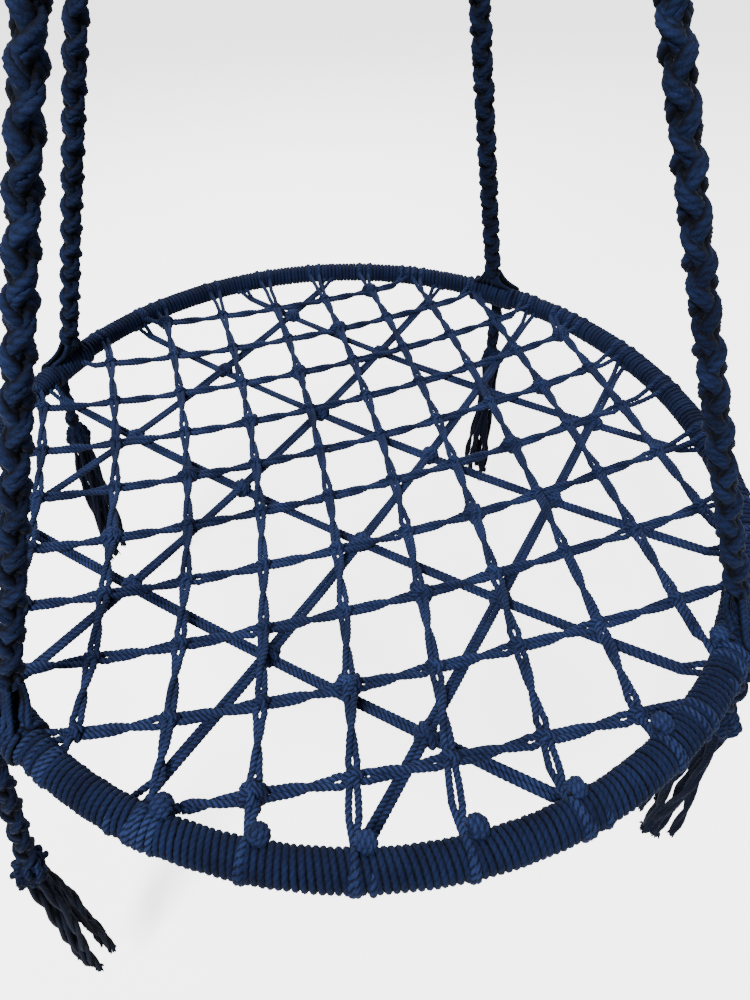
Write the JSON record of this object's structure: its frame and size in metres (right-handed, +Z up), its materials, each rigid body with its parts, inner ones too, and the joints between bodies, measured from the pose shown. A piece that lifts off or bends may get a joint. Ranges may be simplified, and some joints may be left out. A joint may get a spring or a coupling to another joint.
{
  "type": "saucer nest swing",
  "caption": "Round saucer nest swing: a cord-wrapped steel hoop holding a knotted cord net, hung by braided ropes with tasselled ends from a steel hanging ring.",
  "frame": {"origin": "inside top of the hanging ring, where a hook or snap hook bears", "axes": "+Z up; the hoop is level below the origin; -Y is the front; the ring lies in the XZ plane"},
  "size_m": [0.8268, 0.8268, 1.717],
  "materials": {
    "ring_steel": "satin galvanised steel wire",
    "tube_steel": "plain galvanised tube, hidden by the wrap",
    "wrap_cord": "navy twisted cotton cord, matt",
    "rope_braid": "navy braided cotton rope, matt",
    "net_cord": "navy twisted cotton cord, matt",
    "tassel_strands": "dark navy loose cotton strands, frayed ends"
  },
  "bodies": {
    "ring": {"hanging_ring": "ring_steel"},
    "swing": {"rope_loop_left": "rope_braid", "rope_loop_right": "rope_braid", "gathering_wrap": "rope_braid", "rope_back_right": "rope_braid", "rope_back_left": "rope_braid", "rope_front_left": "rope_braid", "rope_front_right": "rope_braid", "hoop_tube": "tube_steel", "hoop_joint_spigot": "tube_steel", "hoop_wrap_back": "wrap_cord", "hoop_wrap_left": "wrap_cord", "hoop_wrap_front": "wrap_cord", "hoop_wrap_right": "wrap_cord", "hitch_back_right": "rope_braid", "hitch_back_left": "rope_braid", "hitch_front_left": "rope_braid", "hitch_front_right": "rope_braid", "row_cord_01": "net_cord", "row_cord_02": "net_cord", "row_cord_03": "net_cord", "row_cord_04": "net_cord", "row_cord_05": "net_cord", "row_cord_06": "net_cord", "row_cord_07": "net_cord", "row_cord_08": "net_cord", "row_cord_09": "net_cord", "row_cord_10": "net_cord", "column_cord_01": "net_cord", "column_cord_02": "net_cord", "column_cord_03": "net_cord", "column_cord_04": "net_cord", "column_cord_05": "net_cord", "column_cord_06": "net_cord", "column_cord_07": "net_cord", "column_cord_08": "net_cord", "column_cord_09": "net_cord", "column_cord_10": "net_cord", "diagonal_rise_1": "net_cord", "diagonal_rise_2": "net_cord", "diagonal_rise_3": "net_cord", "diagonal_rise_4": "net_cord", "diagonal_fall_1": "net_cord", "diagonal_fall_2": "net_cord", "diagonal_fall_3": "net_cord", "diagonal_fall_4": "net_cord"},
    "free_tail_back_right": {"tail_back_right": "rope_braid", "tail_knot_back_right": "rope_braid", "tassel_back_right": "tassel_strands"},
    "free_tail_back_left": {"tail_back_left": "rope_braid", "tail_knot_back_left": "rope_braid", "tassel_back_left": "tassel_strands"},
    "free_tail_front_left": {"tail_front_left": "rope_braid", "tail_knot_front_left": "rope_braid", "tassel_front_left": "tassel_strands"},
    "free_tail_front_right": {"tail_front_right": "rope_braid", "tail_knot_front_right": "rope_braid", "tassel_front_right": "tassel_strands"}
  },
  "joints": [
    {"name": "swing_on_ring", "type": "hinge", "parent": "ring", "child": "swing", "pos_m": [0, 0, -0.067], "axis": [1, 0, 0], "range_deg": [-50, 50]},
    {"name": "tail_sway_back_right", "type": "hinge", "parent": "swing", "child": "free_tail_back_right", "pos_m": [0.31009, 0.28917, -1.22381], "axis": [-0.682, 0.7314, 0], "range_deg": [-60, 30]},
    {"name": "tail_sway_back_left", "type": "hinge", "parent": "swing", "child": "free_tail_back_left", "pos_m": [-0.33275, 0.26279, -1.22381], "axis": [-0.6198, -0.7848, 0], "range_deg": [-60, 30]},
    {"name": "tail_sway_front_left", "type": "hinge", "parent": "swing", "child": "free_tail_front_left", "pos_m": [-0.34302, -0.24922, -1.22381], "axis": [0.5878, -0.809, 0], "range_deg": [-60, 30]},
    {"name": "tail_sway_front_right", "type": "hinge", "parent": "swing", "child": "free_tail_front_right", "pos_m": [0.29981, -0.29981, -1.22381], "axis": [0.7071, 0.7071, 0], "range_deg": [-60, 30]}
  ]
}
